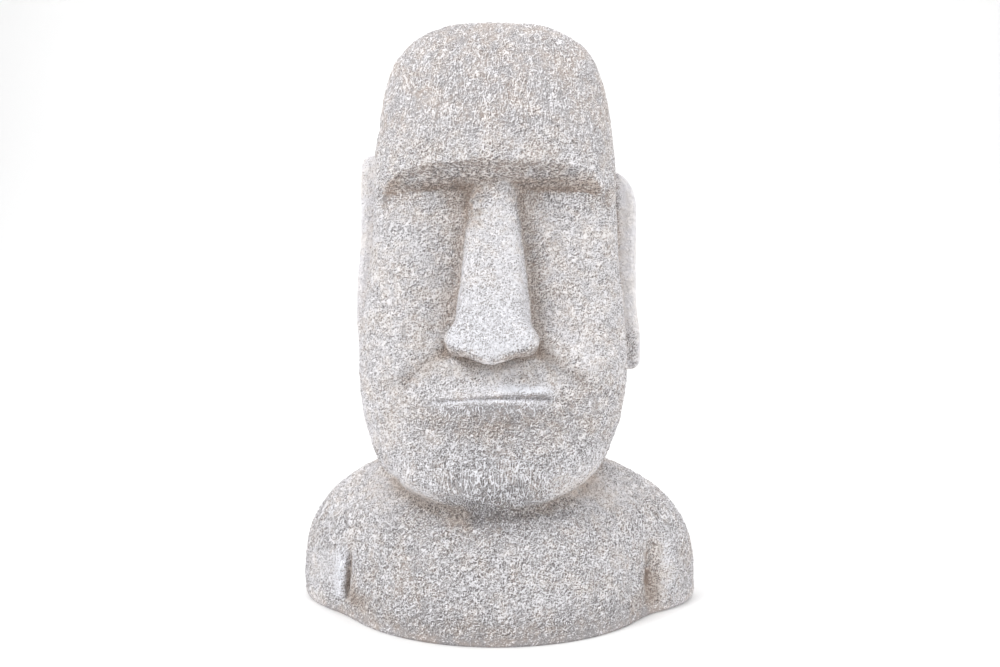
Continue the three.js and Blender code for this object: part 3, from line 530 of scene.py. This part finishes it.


# ------------------------------------------------------------------ material: warm cast body, pits, dry-brushed white, painted shade in the pits and painted light on the ridges
def material():
    m = bpy.data.materials.new("whitewashed_cast_stone")
    m.use_nodes = True
    t = m.node_tree
    t.nodes.clear()
    link = t.links.new

    def put(kind, **values):
        n = t.nodes.new(kind)
        for k, v in values.items():
            if k.startswith("in_"):
                n.inputs[int(k[3:])].default_value = v
            else:
                setattr(n, k, v)
        return n

    def take(n, out=0):
        return n.outputs[out] if isinstance(n, bpy.types.Node) else n

    def calc(op, a, b=0.0, c=0.0, clamp=False):
        n = put("ShaderNodeMath", operation=op, use_clamp=clamp)
        for i, v in enumerate((a, b, c)):
            if isinstance(v, (int, float)):
                n.inputs[i].default_value = v
            else:
                link(take(v), n.inputs[i])
        return n.outputs[0]

    def spread(v, lo, hi, to_lo=0.0, to_hi=1.0, smooth=True):
        n = put("ShaderNodeMapRange", interpolation_type="SMOOTHSTEP" if smooth else "LINEAR")
        link(take(v), n.inputs[0])
        for i, k in enumerate((lo, hi, to_lo, to_hi)):
            n.inputs[i + 1].default_value = k
        return n.outputs[0]

    def mix(a, b, fac, mode="MIX"):
        n = put("ShaderNodeMix", data_type="RGBA", blend_type=mode)
        for i, v in ((0, fac), (6, a), (7, b)):
            if isinstance(v, (int, float)):
                n.inputs[i].default_value = v
            elif isinstance(v, tuple):
                n.inputs[i].default_value = (*v, 1)
            else:
                link(take(v), n.inputs[i])
        return n.outputs[2]

    def mixf(a, b, fac):
        n = put("ShaderNodeMix", data_type="FLOAT")
        for i, v in ((0, fac), (2, a), (3, b)):
            if isinstance(v, (int, float)):
                n.inputs[i].default_value = v
            else:
                link(take(v), n.inputs[i])
        return n.outputs[0]

    def attribute(name):
        return put("ShaderNodeAttribute", attribute_name=name).outputs["Fac"]

    where = put("ShaderNodeTexCoord").outputs["Object"]

    def speckle(vec, scale, detail=2.0, rough=0.55, distort=0.0):
        n = put("ShaderNodeTexNoise")
        link(vec, n.inputs["Vector"])
        for k, v in (("Scale", scale), ("Detail", detail), ("Roughness", rough), ("Distortion", distort)):
            n.inputs[k].default_value = v
        return n.outputs["Fac"]

    def cells(vec, scale, smooth=0.4):
        n = put("ShaderNodeTexVoronoi", feature="SMOOTH_F1")
        link(vec, n.inputs["Vector"])
        n.inputs["Scale"].default_value = scale
        n.inputs["Smoothness"].default_value = smooth
        return n.outputs["Distance"]

    bias, tan, force, height = (attribute(k) for k in ("bias", "tan", "force", "height"))
    upright, slant, streak, comb = (attribute(k) for k in ("upright", "slant", "streak", "comb"))

    def nudged(by):
        n = put("ShaderNodeVectorMath", operation="ADD")
        link(where, n.inputs[0])
        n.inputs[1].default_value = by
        return n.outputs[0]

    def mapped(scale, turn=(0, 0, 0), base=None):
        n = put("ShaderNodeMapping")
        n.inputs["Scale"].default_value = scale
        n.inputs["Rotation"].default_value = turn
        link(where if base is None else base, n.inputs["Vector"])
        return n.outputs[0]

    # the same strokes read a little up-left and down-right; their difference is painted light from the upper left on
    # every ridge
    above, below = nudged((-0.0004, 0, 0.00055)), nudged((0.0004, 0, -0.00055))

    def strokes(stretch, turn, scale, distort, width):
        """Thin curling ridges of wash: how much ridge there is, and its upper edge minus its lower one, a painted
        highlight on the upper-left flank and painted shade on the lower-right flank.
        """
        two = []
        for base in (above, below):
            n = speckle(mapped(stretch, turn, base), scale, 0.5, 0.5, distort)
            two.append(calc("SUBTRACT", 1.0, spread(calc("ABSOLUTE", calc("SUBTRACT", n, 0.5)), 0.0, width)))
        # rim: painted highlight where positive, painted shade where negative
        rim = calc("SUBTRACT", two[1], two[0])
        rim = calc("SUBTRACT", calc("MULTIPLY", calc("MAXIMUM", rim, 0.0), 1.2), calc("MULTIPLY", calc("MAXIMUM", calc("MULTIPLY", rim, -1.0), 0.0), 0.7))
        return calc("MULTIPLY", calc("ADD", two[0], two[1]), 0.5), rim

    def crossfade(a, b, fac):
        return tuple(mixf(p, q, fac) for p, q in zip(a, b))

    free = mapped((1, 1, 1))
    sep = put("ShaderNodeSeparateXYZ")
    link(where, sep.inputs[0])
    is_right = spread(sep.outputs["X"], -0.004, 0.004)
    coarse = crossfade(strokes((1, 1, 1), (0, 0, 0), 225, 1.1, 0.075), strokes((1, 1, 0.42), (0, 0, 0), 245, 0.9, 0.07), calc("MULTIPLY", upright, 0.9))
    slanted = crossfade(strokes((1, 1, 0.36), (0, 0.75, 0), 215, 0.8, 0.075), strokes((1, 1, 0.36), (0, -0.75, 0), 215, 0.8, 0.075), is_right)
    coarse = crossfade(coarse, slanted, calc("MULTIPLY", slant, 0.9))
    coarse = crossfade(coarse, strokes((0.4, 0.4, 1), (0, 0, 0), 360, 0.6, 0.09), streak)
    coarse = crossfade(coarse, strokes((1, 1, 0.2), (0, 0.10, 0), 320, 0.5, 0.09), comb)
    small = strokes((1, 1, 1), (0, 0, 0), 390, 0.8, 0.10)
    along = calc("MAXIMUM", comb, calc("MULTIPLY", calc("MAXIMUM", slant, calc("MULTIPLY", upright, 0.5)), 0.6))
    small = tuple(calc("MULTIPLY", v, calc("SUBTRACT", 1.0, calc("MULTIPLY", along, 0.65))) for v in small)
    coarse = tuple(calc("MULTIPLY", v, calc("ADD", 1.0, calc("MULTIPLY", along, 0.2))) for v in coarse)
    gate = spread(speckle(free, 55, 1.5), 0.36, 0.62, 0.62, 1.0)
    grain = calc("SUBTRACT", speckle(free, 760, 1.0, 0.6), 0.5)
    lumps = calc("SUBTRACT", speckle(free, 150, 2.0, 0.6), 0.5)
    pits = calc("SUBTRACT", 1.0, spread(cells(free, 230, 0.1), 0.08, 0.26))
    pits = calc("MULTIPLY", pits, spread(speckle(free, 90, 1.0), 0.45, 0.60))
    # fine tone around a half
    tone = calc("MULTIPLY", calc("SUBTRACT", coarse[0], 0.33), 0.82)
    tone = calc("ADD", tone, calc("MULTIPLY", calc("SUBTRACT", small[0], 0.33), 0.7))
    # painted highlight and painted shade on the flanks of the strokes
    tone = calc("ADD", tone, calc("MULTIPLY", coarse[1], 0.95))
    tone = calc("ADD", tone, calc("MULTIPLY", small[1], 1.0))
    tone = calc("MULTIPLY", tone, gate)
    tone = calc("ADD", tone, calc("MULTIPLY", grain, 1.75))
    tone = calc("ADD", tone, calc("MULTIPLY", lumps, 0.08))
    # pits darker in colour as well as sunk in the bump: painted shade
    tone = calc("ADD", tone, calc("MULTIPLY", pits, -0.45))
    tone = calc("ADD", tone, calc("MULTIPLY", calc("SUBTRACT", height, 0.5), 0.08))
    tone = calc("ADD", calc("MULTIPLY", tone, force), 0.535)
    relief = calc("ADD", calc("MULTIPLY", coarse[0], 0.6), calc("MULTIPLY", small[0], 0.3))
    relief = calc("ADD", calc("SUBTRACT", relief, calc("MULTIPLY", pits, 0.5)), calc("MULTIPLY", lumps, 0.4))

    # colour: grey and tan body, then the white brushed over what stands out, and painted shade in the lowest spots
    patch = calc("SUBTRACT", speckle(free, 26, 3.0, 0.6), 0.5)
    warm = speckle(mapped((1, 1, 1), (0.4, 0.2, 0.9)), 45, 3.0, 0.75)
    warmth = spread(calc("ADD", warm, calc("MULTIPLY", tan, 0.2)), 0.38, 0.68)
    low = mix(mix((0.36, 0.342, 0.346), (0.43, 0.368, 0.338), warmth), mix((0.25, 0.225, 0.21), (0.33, 0.262, 0.225), warmth), tan)
    high = mix((0.90, 0.882, 0.91), (0.925, 0.89, 0.88), warmth)
    high = mix(high, (0.93, 0.94, 1.0), calc("MULTIPLY", tan, -1.0, clamp=True))
    high = mix(high, mix((0.57, 0.54, 0.525), (0.63, 0.545, 0.49), warmth), tan)
    wash = calc("ADD", calc("ADD", tone, bias), calc("MULTIPLY", patch, 0.14))
    colour = mix(low, high, spread(wash, 0.0, 1.05))
    # near black where the fine tone is lowest: painted shade in pits and at the foot of the ridges
    colour = mix(colour, (0.14, 0.13, 0.13), calc("MULTIPLY", spread(calc("ADD", tone, calc("MULTIPLY", calc("MAXIMUM", bias, 0.0), 0.9)), 0.08, -0.45), 0.85))

    shader = put("ShaderNodeBsdfPrincipled")
    shader.inputs["Specular IOR Level"].default_value = 0.3
    link(colour, shader.inputs["Base Color"])
    link(spread(wash, 0.0, 1.2, 0.97, 0.84), shader.inputs["Roughness"])
    b = put("ShaderNodeBump")
    b.inputs["Strength"].default_value = 1.0
    b.inputs["Distance"].default_value = 0.0013
    bumps = calc("ADD", relief, calc("MULTIPLY", grain, 0.7))
    link(calc("MULTIPLY", bumps, force), b.inputs["Height"])
    link(b.outputs[0], shader.inputs["Normal"])
    out = put("ShaderNodeOutputMaterial")
    link(shader.outputs[0], out.inputs[0])
    return m


bust.data.materials.clear()
bust.data.materials.append(material())
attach(bust, "root")
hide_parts("moai_bust")


# ------------------------------------------------------------------ studio
def plain(name, colour, roughness):
    m = bpy.data.materials.new(name)
    m.use_nodes = True
    s = m.node_tree.nodes["Principled BSDF"]
    s.inputs["Base Color"].default_value = (*colour, 1)
    s.inputs["Roughness"].default_value = roughness
    s.inputs["Specular IOR Level"].default_value = 0.1
    return m


def sweep():
    pts = [(-3.0, 0.0)] + [(1.2, 0.0)]
    for k in range(1, 17):
        a = k / 16 * math.pi / 2
        pts.append((1.2 + 1.0 * math.sin(a), 1.0 - 1.0 * math.cos(a)))
    pts.append((2.2, 4.0))
    vs, fs = [], []
    for y, h in pts:
        vs += [(-5, y, h), (5, y, h)]
    for k in range(len(pts) - 1):
        fs.append((2 * k, 2 * k + 1, 2 * k + 3, 2 * k + 2))
    m = bpy.data.meshes.new("studio_sweep")
    m.from_pydata(vs, [], fs)
    m.polygons.foreach_set("use_smooth", [True] * len(fs))
    o = bpy.data.objects.new("studio_sweep", m)
    bpy.context.scene.collection.objects.link(o)
    m.materials.append(plain("studio_white", (0.93, 0.93, 0.93), 0.9))


sweep()

scene = bpy.context.scene
scene.view_settings.view_transform = "Standard"
scene.view_settings.look = "None"
world = bpy.data.worlds.new("studio_sky")
scene.world = world
world.use_nodes = True
world.node_tree.nodes["Background"].inputs[0].default_value = (1, 1, 1, 1)
world.node_tree.nodes["Background"].inputs[1].default_value = 0.51


def lamp(name, place, at, size, watts, colour=(1, 1, 1)):
    d = bpy.data.lights.new(name, "AREA")
    d.shape = "RECTANGLE"
    d.size, d.size_y = size
    d.energy = watts
    d.color = colour
    o = bpy.data.objects.new(name, d)
    o.location = place
    from mathutils import Vector
    o.rotation_euler = (Vector(at) - Vector(place)).to_track_quat("-Z", "Y").to_euler()
    scene.collection.objects.link(o)
    return o


lamp("key", (-1.5, -1.6, 2.1), (0, 0, 0.3), (1.0, 1.0), 41)
lamp("fill", (2.0, -1.5, 1.1), (0, 0, 0.28), (1.6, 1.6), 14)
lamp("top", (0.0, 0.1, 2.4), (0, 0, 0.3), (1.8, 1.8), 18.5)
lamp("left", (-2.1, 0.5, 0.8), (0, 0, 0.3), (0.8, 1.6), 6.5)
lamp("right", (2.1, 0.1, 0.9), (0, 0, 0.3), (0.8, 1.6), 11)
lamp("back", (0.0, 1.9, 1.8), (0, 0.3, 0.3), (2.4, 1.4), 14)

camera = bpy.data.objects.new("camera", bpy.data.cameras.new("camera"))
scene.collection.objects.link(camera)
AZ, TURN, PITCH, DIST, EYE, FOCAL = 2.75, 0.166, 2.653, 1.0, 0.310, 1038.0
camera.data.sensor_width = 36
camera.data.lens = 36 * FOCAL / 1000
camera.data.clip_end = 50
camera.location = (DIST * math.sin(math.radians(AZ)), -DIST * math.cos(math.radians(AZ)), EYE)
camera.rotation_euler = (math.radians(90 - PITCH), 0, math.radians(AZ - TURN))
scene.camera = camera
